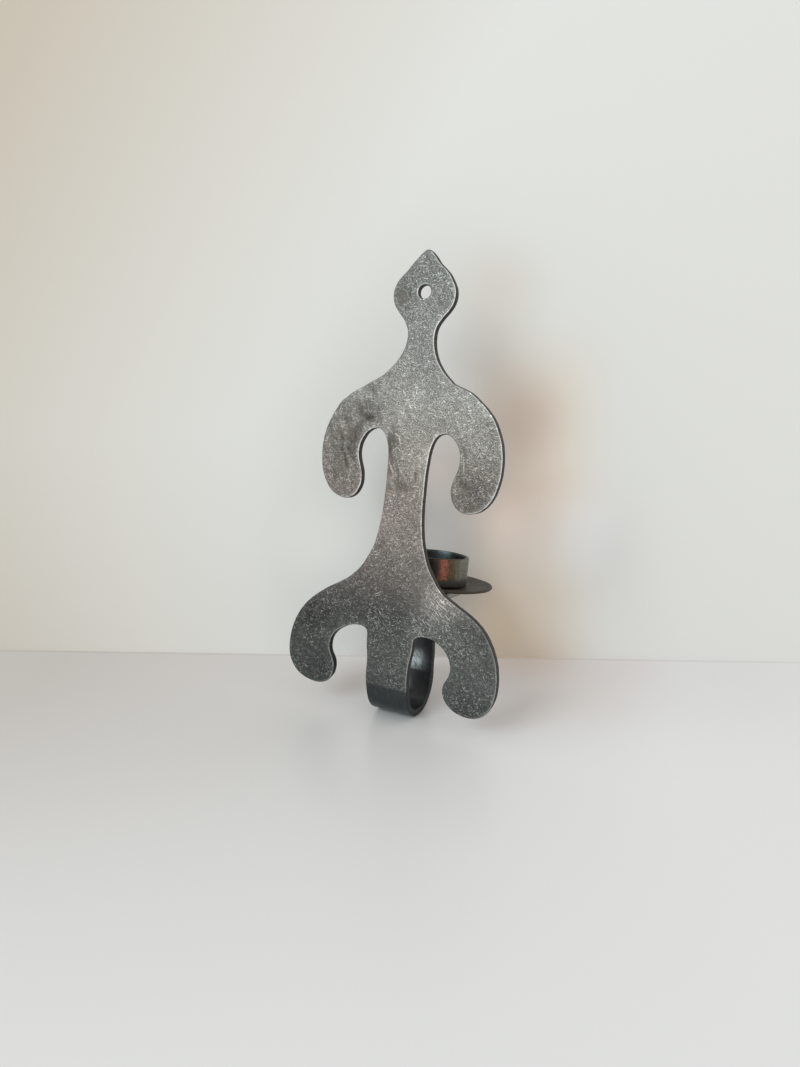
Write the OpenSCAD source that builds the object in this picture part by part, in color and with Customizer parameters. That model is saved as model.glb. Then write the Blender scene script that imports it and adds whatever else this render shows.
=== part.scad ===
// Wall candle holder: a flat forged plate hangs on the wall, its tongue curls under and forward
// into an arm, and the arm carries a spacer, a drip pan and a candle cup on one rivet.
// Millimetres. The origin is the centre of the hanging hole on the wall side of the plate.
// X runs across the plate, +Y points into the wall and +Z is up.

/* [Strap] */
// Thickness of the forged plate
plate_t = 2.8; // [2.5:0.1:3.4]
// Thickness of the drawn-out strap in the curl, the leg and the arm
strap_t = 2.5; // [1.8:0.1:2.5]
// Width of the strap in the curl, the leg and the arm
strap_w = 17.6; // [15:0.2:19]

/* [Hanging leaf] */
// Diameter of the hanging hole
hole_d = 5; // [3.5:0.5:7]
// Height of the leaf's tip above the hanging hole
tip_h = 15; // [12:0.5:22]
// Width of the leaf
leaf_w = 25; // [20:0.2:32]
// Drop from the hanging hole to the neck
neck_drop = 16; // [14:0.5:24]
// Width of the neck
neck_w = 11; // [7:0.5:15]

/* [Upper lobes] */
// Drop from the neck to the top of the notch inside each upper lobe
upper_shoulder = 34.6; // [29:0.2:44]
// Width across the pair of upper lobes
upper_span = 74.2; // [68:0.2:92]
// Width of each upper lobe at its rounded end
upper_bulb_w = 18.6; // [16:0.2:21]
// Width of each upper lobe beside its notch
upper_waist_w = 16.4; // [13:0.2:18]
// Length of each upper lobe below the top of its notch
upper_hang = 27.8; // [24:0.2:34]

/* [Stem] */
// Distance between the notch tops of the upper and lower lobes
stem_len = 75.8; // [68:0.2:92]
// Width of the stem at its narrowest
stem_w = 16; // [13:0.5:18]

/* [Lower lobes] */
// Width across the pair of lower lobes
lower_span = 88.6; // [82:0.2:106]
// Width of each lower lobe at its rounded end
lower_bulb_w = 21; // [18:0.2:24]
// Width of each lower lobe beside its notch
lower_waist_w = 18.6; // [15:0.2:21]
// Length of each lower lobe below the top of its notch
lower_hang = 27.8; // [24:0.2:33]

/* [Tongue and arm] */
// Width of the tongue at its top, beside the lower notches
tongue_w = 19.6; // [17:0.2:22]
// Drop from the lower notch tops to the start of the curl
tongue_drop = 13.8; // [11:0.2:20]
// Outer radius of the slow bend where the tongue leaves the wall
sweep_r = 32; // [26:1:44]
// Angle of that slow bend, in degrees
sweep_turn = 26; // [16:1:32]
// Outer radius of the curl under the plate
curl_r = 12.4; // [10:0.2:16]
// Lean of the leg back towards the plate, in degrees
leg_lean = 7; // [0:1:10]
// Height from the start of the slow bend to the underside of the arm
arm_rise = 23.3; // [20:0.1:34]
// Inner radius of the bend from the leg into the arm
arm_bend_r = 5.5; // [3:0.5:7.5]
// Distance from the wall to the centre of the candle
candle_out = 35.6; // [34:0.2:50]
// Length of the arm past the centre of the candle
arm_past = 14.4; // [8:0.2:18]
// Radius of the corners at the end of the arm
arm_corner_r = 3; // [1:0.5:5]

/* [Drip pan] */
// Diameter of the drip pan
pan_d = 50; // [44:0.5:60]
// Diameter of the pan's flat floor
pan_floor_d = 31; // [30:0.5:38]
// Slope of the pan's raised rim, in degrees
pan_slope = 8; // [5:0.5:20]
// Radius of the bend between the pan's floor and its raised rim
pan_bend_r = 10; // [4:0.5:14]
// Thickness of the pan's sheet
pan_t = 1.2; // [0.8:0.1:2]

// Diameter of the spacer that lifts the pan off the arm
spacer_d = 15; // [12:0.5:17]
// Thickness of the spacer
spacer_t = 1.8; // [1:0.1:4]

/* [Candle cup] */
// Bore of the candle cup
socket_d = 26; // [22:0.2:26.4]
// Wall of the candle cup
cup_wall = 1.3; // [0.8:0.1:2]
// Thickness of the cup's floor
cup_floor = 1.4; // [0.8:0.1:2.5]
// Height of the candle cup
cup_h = 12; // [10:0.2:22]
// Radius between the cup's bore and its floor
cup_fillet = 2.4; // [2.2:0.1:4]
// Radius of the cup's outer bottom edge
cup_edge_r = 0.8; // [0.3:0.1:1.1]

/* [Rivet] */
// Diameter of the rivet's shank
rivet_d = 4; // [3:0.5:5]
// Diameter of the rivet's head inside the cup
rivet_head_d = 8; // [7:0.5:12]
// Height of the rivet's head
rivet_head_h = 1.6; // [1:0.1:2]
// Diameter of the rivet's peened tail under the arm
rivet_tail_d = 7; // [6.5:0.5:10]
// Height of the rivet's peened tail
rivet_tail_h = 1.1; // [0.6:0.1:2]
// Clearance round the rivet's shank in its holes
rivet_gap = 0.05; // [0.02:0.01:0.1]

/* [Hidden] */
$fn = 96;

// Overrun of a cutting tool past the face that it cuts
cut = 1;
// Straight pieces in each curve of the outline, in each rounded corner of a turned profile, in
// the tight bend of the curl, and in the bend into the arm
curve_steps = 8;
corner_steps = 6;
curl_steps = 24;
bend_steps = 12;

// Directions along the outline, which runs down the right side from the tip
RIGHT = 0;
LEFT = 180;
UP = 90;
DOWN = -90;

// Heights of the outline's main stations
neck_z = -neck_drop;
upper_arch_z = neck_z - upper_shoulder;
lower_arch_z = upper_arch_z - stem_len;
curl_z = lower_arch_z - tongue_drop;

// How full a curve is at its start and its end: 0.55 makes a quarter of an ellipse
FULL = 0.55;
SOFT = 0.47;
FLAT = 0.35;

// The leaf is widest this far below the hanging hole. Its flank is straightest at this share of
// the way out and this share of the way down, where it falls at this slope.
leaf_drop = 1;
flank_out = 0.55;
flank_down = 0.39;
flank_slope = -47;

// The stem is narrowest at this share of the way between the two pairs of notches
stem_share = 0.28;
// The tongue is widest at this share of its drop, and narrows and thins from there to the curl
tongue_share = 0.3;
tongue_z = lower_arch_z - tongue_share * tongue_drop;

// The arm's underside, its top, and the faces stacked on it
arm_z = curl_z + arm_rise;
spacer_z = arm_z + strap_t;
pan_z = spacer_z + spacer_t;
pan_floor_z = pan_z + pan_t;
cup_floor_z = pan_floor_z + cup_floor;

// The tight bend of the curl takes over from the slow one where both run the same way
curl_y = -sweep_r + (sweep_r - curl_r) * cos(sweep_turn);
curl_mid_z = curl_z - (sweep_r - curl_r) * sin(sweep_turn);

// The leg's front face runs straight from the end of the curl to the start of the arm's bend
leg_foot_y = curl_y - curl_r * cos(leg_lean);
leg_foot_z = curl_mid_z + curl_r * sin(leg_lean);
arm_bend_z = arm_z - arm_bend_r;
leg_len = (arm_bend_z - arm_bend_r * sin(leg_lean) - leg_foot_z) / cos(leg_lean);
arm_bend_y = leg_foot_y + leg_len * sin(leg_lean) - arm_bend_r * cos(leg_lean);
arm_end_y = -candle_out - arm_past;

cup_d = socket_d + 2 * cup_wall;
rivet_hole_d = rivet_d + 2 * rivet_gap;

// A point of the outline: place, direction, and how full the curve is before and after it
function station(x, z, direction, before = FULL, after = FULL) = [x, z, direction, before, after];

// The six stations of one lobe, from the shoulder over the lobe's end to the top of its notch.
// edge_x is the stem's edge at the notch. The rest are shares: where the shoulder starts across
// and above the notch, how far down the lobe is widest, where its lowest point lies across the
// bulb, how far the inner tip stands above it, how far down the notch is widest, and where the
// notch's top lies across it.
function lobe(arch_z, edge_x, span, bulb_w, waist_w, hang, shoulder_x, shoulder_z, shoulder_dir,
              widest, lowest, tip, notch, arch_x) =
    let (
        inner_x = span / 2 - bulb_w,
        notch_x = span / 2 - waist_w
    )
    [
        station(shoulder_x * span / 2, arch_z + shoulder_z * hang, shoulder_dir, SOFT, SOFT),
        station(span / 2, arch_z - widest * hang, DOWN, SOFT, 0.6),
        station(inner_x + lowest * bulb_w, arch_z - hang, LEFT, 0.6, 0.5),
        station(inner_x, arch_z - hang + tip * bulb_w, UP, 0.56, SOFT),
        station(notch_x, arch_z - notch * hang, UP, SOFT, 0.5),
        station(edge_x + arch_x * (notch_x - edge_x), arch_z, LEFT, 0.5, 0.95)
    ];

// The right half of the outline, from the tip to the start of the curl
stations = concat(
    [
        station(0, tip_h, RIGHT, FLAT, 0.2),
        station(flank_out * leaf_w / 2, tip_h - flank_down * (tip_h + leaf_drop), flank_slope, 0.7, SOFT),
        station(leaf_w / 2, -leaf_drop, DOWN, FLAT, SOFT),
        station(neck_w / 2, neck_z, DOWN, 0.5, 0.38)
    ],
    lobe(upper_arch_z, stem_w / 2, upper_span, upper_bulb_w, upper_waist_w, upper_hang,
         0.49, 0.62, -23, 0.36, 0.34, 0.41, 0.32, 0.48),
    [station(stem_w / 2, upper_arch_z - stem_share * stem_len, DOWN, FULL, SOFT)],
    lobe(lower_arch_z, tongue_w / 2, lower_span, lower_bulb_w, lower_waist_w, lower_hang,
         0.556, 0.53, -29, 0.48, 0.45, 0.465, 0.37, 0.33),
    [
        station(tongue_w / 2, tongue_z, DOWN, 0.65, FLAT),
        station(strap_w / 2, curl_z, DOWN, FLAT, FLAT)
    ]
);

function unit(direction) = [cos(direction), sin(direction)];

// Points of the curve from one station to the next, without the last one
function curve(a, b, steps) =
    let (
        from = [a[0], a[1]],
        to = [b[0], b[1]],
        reach_a = a[4] * abs((to - from) * unit(a[2])),
        reach_b = b[3] * abs((to - from) * unit(b[2])),
        out = from + reach_a * unit(a[2]),
        in = to - reach_b * unit(b[2])
    )
    [
        for (i = [0 : steps - 1])
            let (t = i / steps, s = 1 - t)
            s * s * s * from + 3 * s * s * t * out + 3 * s * t * t * in + t * t * t * to
    ];

right_side = concat(
    [for (i = [0 : len(stations) - 2]) each curve(stations[i], stations[i + 1], curve_steps)],
    [[strap_w / 2, curl_z]]
);
// The tip itself lies on the centre line, so the left side leaves it out
left_side = [for (i = [len(right_side) - 1 : -1 : 1]) [-right_side[i][0], right_side[i][1]]];

// Points of an arc about a centre, from the first wanted step on
function arc(centre, r, start, end, steps, first = 0) =
    [for (i = [first : steps]) centre + r * unit(start + (end - start) * i / steps)];

function reversed(points) = [for (i = [len(points) - 1 : -1 : 0]) points[i]];

// Places its child, drawn with the wall's depth along X and the height along Y, across the plate
module across(width) {
    rotate([90, 0, 90])
        translate([0, 0, -width / 2])
            children();
}

// The flat plate with its lobes. Its tongue thins towards the curl.
module plate() {
    difference() {
        rotate([90, 0, 0])
            linear_extrude(plate_t)
                polygon(concat(right_side, left_side));
        across(tongue_w + 2 * cut)
            linear_extrude(tongue_w + 2 * cut)
                polygon([
                    [-plate_t, tongue_z],
                    [-strap_t, curl_z],
                    [-strap_t, curl_z - cut],
                    [-plate_t - cut, curl_z - cut],
                    [-plate_t - cut, tongue_z]
                ]);
    }
}

// One face of the strap from the plate to the arm, this deep below the outside of the curl. It
// runs on a little way into the arm.
function strap_face(depth) = concat(
    arc([-sweep_r, curl_z], sweep_r - depth, 0, -sweep_turn, curve_steps),
    arc([curl_y, curl_mid_z], curl_r - depth, -sweep_turn, -180 - leg_lean, curl_steps, 1),
    arc([arm_bend_y, arm_bend_z], arm_bend_r + depth, -leg_lean, 90, bend_steps),
    [[arm_bend_y - cut, arm_z + depth]]
);

// The curl, the leg and the bend into the arm
module curled_strap() {
    across(strap_w)
        linear_extrude(strap_w)
            polygon(concat(strap_face(0), reversed(strap_face(strap_t))));
}

// The arm under the pan, with rounded corners at its free end
module arm() {
    corner_x = strap_w / 2 - arm_corner_r;
    corner_y = arm_end_y + arm_corner_r;
    translate([0, 0, arm_z])
        linear_extrude(strap_t)
            union() {
                translate([-strap_w / 2, corner_y])
                    square([strap_w, arm_bend_y - corner_y]);
                translate([-corner_x, arm_end_y])
                    square([2 * corner_x, 2 * arm_corner_r]);
                for (side = [-1, 1])
                    translate([side * corner_x, corner_y])
                        circle(arm_corner_r);
            }
}

// The hole for the rivet, from one height to another
module rivet_hole(bottom, top) {
    translate([0, -candle_out, bottom - cut])
        cylinder(d = rivet_hole_d, h = top - bottom + 2 * cut);
}

// One forging: plate, curled tongue, leg and arm
module back_plate() {
    color([0.42, 0.42, 0.41])
        difference() {
            union() {
                plate();
                curled_strap();
                arm();
            }
            translate([0, cut, 0])
                rotate([90, 0, 0])
                    cylinder(d = hole_d, h = plate_t + 2 * cut);
            rivet_hole(arm_z, spacer_z);
        }
}

// A flat washer between the arm and the pan
module spacer() {
    color([0.2, 0.19, 0.18])
        difference() {
            translate([0, -candle_out, spacer_z])
                cylinder(d = spacer_d, h = spacer_t);
            rivet_hole(spacer_z, pan_z);
        }
}

// A shallow round saucer with a raised rim, seated on the spacer
module drip_pan() {
    bend = arc([pan_floor_d / 2, pan_bend_r], pan_bend_r, -90, -90 + pan_slope, corner_steps);
    bend_end = bend[corner_steps];
    rim = [pan_d / 2, bend_end[1] + (pan_d / 2 - bend_end[0]) * tan(pan_slope)];
    under = concat(bend, [rim]);
    over = reversed([for (point = under) point + [0, pan_t]]);
    color([0.24, 0.22, 0.2])
        difference() {
            translate([0, -candle_out, pan_z])
                rotate_extrude()
                    polygon(concat([[0, 0]], under, over, [[0, pan_t]]));
            rivet_hole(pan_z, pan_floor_z);
        }
}

// A round cup with a flat floor, a fillet inside and a broken edge outside
module candle_cup() {
    outer_r = cup_d / 2;
    bore_r = socket_d / 2;
    edge = arc([outer_r - cup_edge_r, cup_edge_r], cup_edge_r, -90, 0, corner_steps);
    fillet = arc([bore_r - cup_fillet, cup_floor + cup_fillet], cup_fillet, 0, -90, corner_steps);
    color([0.33, 0.28, 0.22])
        difference() {
            translate([0, -candle_out, pan_floor_z])
                rotate_extrude()
                    polygon(concat([[0, 0]], edge, [[outer_r, cup_h], [bore_r, cup_h]], fillet,
                                   [[0, cup_floor]]));
            rivet_hole(pan_floor_z, cup_floor_z);
        }
}

// A domed round cap of the given diameter and height, flat side down
module dome(d, h) {
    ball_r = (d * d / 4 + h * h) / (2 * h);
    half_angle = asin(d / 2 / ball_r);
    rotate_extrude()
        polygon(concat([[0, 0]], arc([0, h - ball_r], ball_r, 90 - half_angle, 90, corner_steps)));
}

// One rivet through cup, pan, spacer and arm, domed inside the cup and peened below the arm
module rivet() {
    color([0.3, 0.29, 0.28])
        translate([0, -candle_out, 0])
            union() {
                translate([0, 0, arm_z])
                    cylinder(d = rivet_d, h = cup_floor_z - arm_z);
                translate([0, 0, cup_floor_z])
                    dome(rivet_head_d, rivet_head_h);
                translate([0, 0, arm_z])
                    mirror([0, 0, 1])
                        dome(rivet_tail_d, rivet_tail_h);
            }
}

back_plate();
spacer();
drip_pan();
candle_cup();
rivet();
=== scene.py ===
import math
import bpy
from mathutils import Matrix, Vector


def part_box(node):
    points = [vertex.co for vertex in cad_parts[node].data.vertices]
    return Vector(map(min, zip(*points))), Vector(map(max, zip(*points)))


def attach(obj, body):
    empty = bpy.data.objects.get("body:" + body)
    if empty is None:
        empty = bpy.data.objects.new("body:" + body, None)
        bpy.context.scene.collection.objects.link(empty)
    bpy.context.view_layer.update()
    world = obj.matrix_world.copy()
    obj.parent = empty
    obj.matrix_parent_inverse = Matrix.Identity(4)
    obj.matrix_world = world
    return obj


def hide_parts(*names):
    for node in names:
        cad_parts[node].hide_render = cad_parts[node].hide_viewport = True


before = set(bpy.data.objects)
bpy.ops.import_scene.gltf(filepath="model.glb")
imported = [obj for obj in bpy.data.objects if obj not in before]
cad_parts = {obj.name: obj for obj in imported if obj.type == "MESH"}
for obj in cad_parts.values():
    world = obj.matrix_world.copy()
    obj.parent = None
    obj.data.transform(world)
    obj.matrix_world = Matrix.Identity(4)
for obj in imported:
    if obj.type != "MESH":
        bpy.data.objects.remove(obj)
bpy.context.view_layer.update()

from types import SimpleNamespace

import bmesh
import bpy
import numpy as np
from mathutils import Matrix, Vector, geometry, noise

# The forged wall candle holder is worked out here in millimetres and built in metres.
# X runs across the plate, -Y out of the wall and Z up. The photo looks at the side that faces the
# wall, so the photo's right is -X.
MM = 0.001


def node_box_mm(name):
    """Lowest and highest corner of a CAD node."""
    low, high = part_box(name)
    return np.array(low) / MM, np.array(high) / MM


# Sizes that the solids share with this script. The tongue thins down within a margin of its width
PLATE_T = 2.8
STRAP_T = 2.5
STRAP_W = 17.6
SWEEP_R = 32.0
SWEEP_TURN = math.radians(26)
CURL_R = 12.4
LEG_LEAN = math.radians(7)
ARM_BEND_R = 5.5
ARM_CORNER_R = 3.0
TONGUE_TOP_Z = -130.5
TAPER_MARGIN = 1.5
HOLE_R = 2.5
PAN_T = 1.2
PAN_FLOOR_R = 15.5
CUP_WALL = 1.3
CUP_FLOOR = 1.4
CUP_FILLET = 2.4
CUP_FOOT_R = 0.8
RIVET_HOLE_R = 2.05
RIVET_SHANK_R = 2.0
RIVET_TAIL_R = 3.5

plate_low, _ = node_box_mm("back_plate")
pan_low, pan_high = node_box_mm("drip_pan")
cup_low, cup_high = node_box_mm("candle_cup")
spacer_low, spacer_high = node_box_mm("spacer")
rivet_low, rivet_high = node_box_mm("rivet")

CANDLE_Y = (cup_low[1] + cup_high[1]) / 2
ARM_Z = spacer_low[2] - STRAP_T
CUP_FLOOR_Z = cup_low[2] + CUP_FLOOR


# Smooth seeded roughness

# How far the noise moves from seed to seed, on its own and on the plate
SEED_SHIFT = (17.3, -9.1, 5.7)
LAYER_SHIFT = 40.0
# Kinds of roughness: height and width in mm
SLOW_WANDER = (0.12, 7.0)
FAST_WANDER = (0.06, 2.6)
LONG_WAVE = (0.13, 19.0)
SHORT_WAVE = (0.10, 8.0)
BLOW = (0.08, 4.6)
GRAIN = (0.03, 2.2)
FOLD_BEND = (1.6, 6.0)
FOLD = (1.0, 5.5)
LUMP = (1.0, 3.4)
MEAN_HEIGHT = 0.04
# A fold's ridge: how steeply it falls off, how round it is, and its share and the lumps'
RIDGE_FALL = 3.4
RIDGE_ROUND = 0.12
FOLD_SHARE = 0.6


def ripple(points, kind, seed):
    """Smooth noise of one kind at 3-D points."""
    height, width = kind
    shift = Vector([seed * step for step in SEED_SHIFT])
    return height * np.array([noise.noise(Vector(p) / width + shift) for p in points])


def layer(flat, seed):
    """Flat places as 3-D points, apart from other seeds."""
    return np.c_[flat, np.full(len(flat), seed * LAYER_SHIFT)]


def bump(distance, radius):
    """A smooth bell: 1 in the middle, nearly 0 at twice the radius."""
    return np.exp(-((distance / radius) ** 2))


def near(flat, place, reach):
    return bump(np.hypot(*(flat - np.array(place)).T), reach)


# The plate's outline, read from the wall side of the solid

# A tolerance in metres, and how squarely a face looks at the wall
SAME_PLACE = 1e-6
FACES_WALL = 0.99


def wall_face_loop():
    """The longest closed loop of (x, z) round the plate's flat wall face."""
    mesh = bmesh.new()
    mesh.from_mesh(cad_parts["back_plate"].data)
    bmesh.ops.remove_doubles(mesh, verts=mesh.verts, dist=SAME_PLACE)
    on_wall = {f for f in mesh.faces
               if f.normal.y > FACES_WALL and all(abs(v.co.y) < SAME_PLACE for v in f.verts)}
    rim = {}
    for face in on_wall:
        for loop in face.loops:
            if sum(f in on_wall for f in loop.edge.link_faces) == 1:
                rim[loop.vert] = loop.link_loop_next.vert
    loops = []
    while rim:
        start, here = rim.popitem()
        loop = [start]
        while here is not start:
            loop.append(here)
            here = rim.pop(here)
        loops.append(np.array([(v.co.x, v.co.z) for v in loop]) / MM)
    mesh.free()
    return max(loops, key=len)


def resample(loop, spacing):
    """Evenly spaced points along a smooth closed curve."""
    points = np.vstack([loop, loop[:1]])
    run = np.r_[0, np.cumsum(np.hypot(*np.diff(points, axis=0).T))]
    count = int(round(run[-1] / spacing))
    wanted = np.linspace(0, run[-1], count + 1)[:-1]
    slope = np.gradient(points, run, axis=0)
    before = (points[0] - points[-2]) / (run[-1] - run[-2])
    after = (points[1] - points[0]) / run[1]
    slope[0] = (before + after) / 2
    slope[-1] = slope[0]
    k = np.clip(np.searchsorted(run, wanted, side="right") - 1, 0, len(run) - 2)
    step = (run[k + 1] - run[k])[:, None]
    t = (wanted - run[k])[:, None] / step
    start_slope = slope[k] * step
    end_slope = slope[k + 1] * step
    return ((2 * t**3 - 3 * t**2 + 1) * points[k] + (t**3 - 2 * t**2 + t) * start_slope
            + (3 * t**2 - 2 * t**3) * points[k + 1] + (t**3 - t**2) * end_slope)


# The strap's run from the plate through the curl and leg to the arm, seen from the side.
# A place along it is its distance from the start of the curl; the outside of the curl is height 0.

wall_loop = wall_face_loop()
CURL_Z = wall_loop[np.abs(wall_loop[:, 0]) < STRAP_W / 2 + 0.1][:, 1].min()


def part_place(part, run):
    """(y, z) and turn at a run within a part: a start, its place and turn, and a bend's radius."""
    start, y, z, turn, bend_r = part
    if bend_r is None:
        return y - (run - start) * math.sin(turn), z - (run - start) * math.cos(turn), turn
    now = turn + (run - start) / bend_r
    y += bend_r * (math.cos(now) - math.cos(turn))
    return y, z - bend_r * (math.sin(now) - math.sin(turn)), now


def carry_on(start, bend_r=None):
    """Starts the strap's next part at a run, straight or bent. It returns that place's y and z."""
    strap_parts.append((start, *part_place(strap_parts[-1], start), bend_r))
    return strap_parts[-1][1:3]


strap_parts = [(0.0, 0.0, CURL_Z, 0.0, None)]
carry_on(0.0, SWEEP_R)
SWEEP_END = SWEEP_R * SWEEP_TURN
carry_on(SWEEP_END, CURL_R)
CURL_END = SWEEP_END + CURL_R * (math.pi + LEG_LEAN - SWEEP_TURN)
_, foot_z = carry_on(CURL_END)
leg_rise = ARM_Z - ARM_BEND_R * (1 + math.sin(LEG_LEAN)) - foot_z
LEG_END = CURL_END + leg_rise / math.cos(LEG_LEAN)
carry_on(LEG_END, -ARM_BEND_R)
BEND_END = LEG_END + ARM_BEND_R * (math.pi / 2 + LEG_LEAN)
arm_y, _ = carry_on(BEND_END)
ARM_END = BEND_END + arm_y - plate_low[1]
RIVET_RUN = BEND_END + arm_y - CANDLE_Y


def strap_place(runs):
    """(y, z) on the outside of the strap at these runs, and the direction in through it."""
    found = []
    for run in runs:
        part = next((p for p in strap_parts[::-1] if run > p[0]), strap_parts[0])
        found.append(part_place(part, run))
    y, z, turn = np.array(found).T
    return y, z, -np.cos(turn), np.sin(turn)


def thickness_at(flat):
    """Thickness of the forging, which thins down the tongue."""
    taper = np.clip((TONGUE_TOP_Z - flat[:, 1]) / (TONGUE_TOP_Z - CURL_Z), 0, 1)
    on_tongue = np.abs(flat[:, 0]) < STRAP_W / 2 + TAPER_MARGIN
    return PLATE_T - (PLATE_T - STRAP_T) * taper * on_tongue


# The forging as if unrolled: x across, z down the plate and on along the strap

OUTLINE_STEP = 0.7
GRID_STEP = 0.8
CORNER_POINTS = 6
HOLE_POINTS = 40
RIVET_POINTS = 28
HOLE_PLACE = (0, 0)
RIVET_PLACE = (0, CURL_Z - RIVET_RUN)


def strap_outline(side):
    """One long side of the unrolled strap and its corner at the arm's end."""
    half = STRAP_W / 2
    end_z = CURL_Z - ARM_END
    last_run = ARM_END - ARM_CORNER_R
    runs = np.arange(OUTLINE_STEP, last_run, OUTLINE_STEP * 2)
    outline = [(side * half, CURL_Z - run) for run in runs]
    for turn in np.linspace(0, math.pi / 2, CORNER_POINTS):
        x = half - ARM_CORNER_R * (1 - math.cos(turn))
        outline.append((side * x, end_z + ARM_CORNER_R * (1 - math.sin(turn))))
    return np.array(outline)


# Where the hand-made plate leaves its mirror image, seen in the photo: place, reach, move
NUDGES = [
    ((0, -18), 9, (-0.65, 0)), ((-36, -119), 8, (-0.4, 0.45)), ((31, -43), 9, (-0.3, -0.3)),
    ((-33, -75), 8, (-0.2, -0.3)), ((27, -153), 7, (-0.3, -0.45)), ((19, -128), 5, (0, -0.6)),
    ((-21, -109), 6, (0.3, -0.35)), ((30.6, -42.1), 3.0, (0.25, 0.30)),
    ((22.1, -35.9), 3.2, (-0.20, -0.35)), ((-15.6, -31.6), 2.2, (0.25, -0.25)),
    ((-22, -36.5), 3.5, (-0.20, 0.25)), ((-5.0, 10.8), 2.0, (0.25, -0.15)),
    ((-9.2, 7.0), 2.6, (-0.22, 0.10)), ((8.6, 7.6), 2.6, (-0.25, -0.15)),
]


def hand_made(flat):
    """Flat places moved as by hand cutting and filing."""
    out = flat.copy()
    for place, reach, move in NUDGES:
        out += near(flat, place, reach)[:, None] * np.array(move)
    places = layer(flat, 0)
    for axis, seed in enumerate((1, 3)):
        out[:, axis] += ripple(places, SLOW_WANDER, seed) + ripple(places, FAST_WANDER, seed + 1)
    return out


def settled(flat):
    """Hand-made flat places, with the two holes kept true."""
    steady = near(flat, HOLE_PLACE, 2 * HOLE_R) + near(flat, RIVET_PLACE, 4 * RIVET_HOLE_R)
    steady = np.clip(steady, 0, 1)[:, None]
    return hand_made(flat) * (1 - steady) + flat * steady


def unrolled_outline():
    """The plate's outline, opened at the tongue, and the strap's."""
    corner = (np.abs(wall_loop[:, 1] - CURL_Z) < 1e-3) & (np.abs(wall_loop[:, 0]) < STRAP_W)
    start = np.flatnonzero(corner & np.roll(corner, 1))[0]
    loop = np.roll(wall_loop, -start, axis=0)
    side = np.sign(loop[0][0])
    return resample(np.vstack([loop, strap_outline(-side), strap_outline(side)[::-1]]), OUTLINE_STEP)


def ring(centre, radius, count):
    angles = np.linspace(0, 2 * math.pi, count, endpoint=False)
    return np.c_[centre[0] + radius * np.cos(angles), centre[1] + radius * np.sin(angles)]


def inward_normals(loop, solid_inside):
    """Unit directions from a closed loop into the metal."""
    tangent = np.roll(loop, -1, axis=0) - np.roll(loop, 1, axis=0)
    area = np.sum(loop[:, 0] * np.roll(loop[:, 1], -1) - np.roll(loop[:, 0], -1) * loop[:, 1])
    normal = np.c_[-tangent[:, 1], tangent[:, 0]] * np.sign(area)
    normal /= np.hypot(*normal.T)[:, None]
    return normal if solid_inside else -normal


def inside(points, loop):
    """Which points lie inside a closed loop."""
    hit = np.zeros(len(points), bool)
    x, z = points.T
    for (x1, z1), (x2, z2) in zip(loop, np.roll(loop, -1, axis=0)):
        if z1 != z2:
            crosses = ((z1 > z) != (z2 > z)) & (x < (x2 - x1) * (z - z1) / (z2 - z1) + x1)
            hit ^= crosses
    return hit


def in_metal(points, loops):
    hit = inside(points, loops[0])
    for hole in loops[1:]:
        hit &= ~inside(points, hole)
    return hit


def nearest(points, loop, block=800):
    """Distance from each point to a loop, and which of its points is nearest."""
    distance = np.empty(len(points))
    which = np.empty(len(points), int)
    for k in range(0, len(points), block):
        gap = points[k:k + block, None, :] - loop[None, :, :]
        squares = (gap**2).sum(2)
        which[k:k + block] = squares.argmin(1)
        distance[k:k + block] = np.sqrt(squares.min(1))
    return distance, which


# Shares of the thickness
OUTSIDE = 0.0
MIDDLE = 0.5
INSIDE = 1.0

# The rounded rim, from a face to its edge: how far in, and how far below the face
EDGE_R = 0.36
RIM_REACH = EDGE_R + 0.3
RIM_TURNS = np.radians([0, 25, 50, 72, 90])
RIM_PROFILE = [(RIM_REACH, 0.0)]
RIM_PROFILE += [(EDGE_R * (1 - math.sin(a)), EDGE_R * (1 - math.cos(a))) for a in RIM_TURNS]
# Its levels from the outside to the inside: how far in, share, how far below the face
RIM_LEVELS = [(inset, OUTSIDE, sink) for inset, sink in RIM_PROFILE]
RIM_LEVELS += [(0.0, MIDDLE, 0.0)]
RIM_LEVELS += [(inset, INSIDE, sink) for inset, sink in RIM_PROFILE[::-1]]

# The grid's distance from the rim and from its inner ring, in steps
RIM_GAP = 0.4
RING_GAP = 0.6
MESH_TOLERANCE = 1e-5


class Sheet:
    """The unrolled forging as it grows: faces, and x, z, share and depth below the face of each vertex."""

    def __init__(self):
        self.verts = []
        self.faces = []

    def add(self, places, share, sink):
        """Adds vertices at one level and returns their numbers."""
        first = len(self.verts)
        self.verts += [(x, z, share, sink) for x, z in places]
        return range(first, len(self.verts))

    def add_rim(self, loop, solid_inside):
        """Adds the rounded rim along a loop, and returns its first and last ring."""
        normal = inward_normals(loop, solid_inside)
        rings = [self.add(loop + normal * inset, share, sink) for inset, share, sink in RIM_LEVELS]
        for upper, lower in zip(rings, rings[1:]):
            for k in range(len(loop)):
                nxt = (k + 1) % len(loop)
                self.faces.append((upper[k], upper[nxt], lower[nxt], lower[k]))
        return rings[0], rings[-1]


def face_grid(loops, rings):
    """An even triangle grid over the sheet, clear of its rims."""
    low = loops[0].min(0)
    high = loops[0].max(0)
    rows = np.arange(low[1], high[1], GRID_STEP * math.sqrt(3) / 2)
    grid = np.array([(x + GRID_STEP / 2 * (r % 2), z)
                     for r, z in enumerate(rows) for x in np.arange(low[0], high[0], GRID_STEP)])
    grid = grid[in_metal(grid, loops)]
    for places in rings:
        grid = grid[nearest(grid, places)[0] > GRID_STEP * RING_GAP]
    for places in loops:
        grid = grid[nearest(grid, places)[0] > RIM_REACH + GRID_STEP * RIM_GAP]
    return grid


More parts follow.
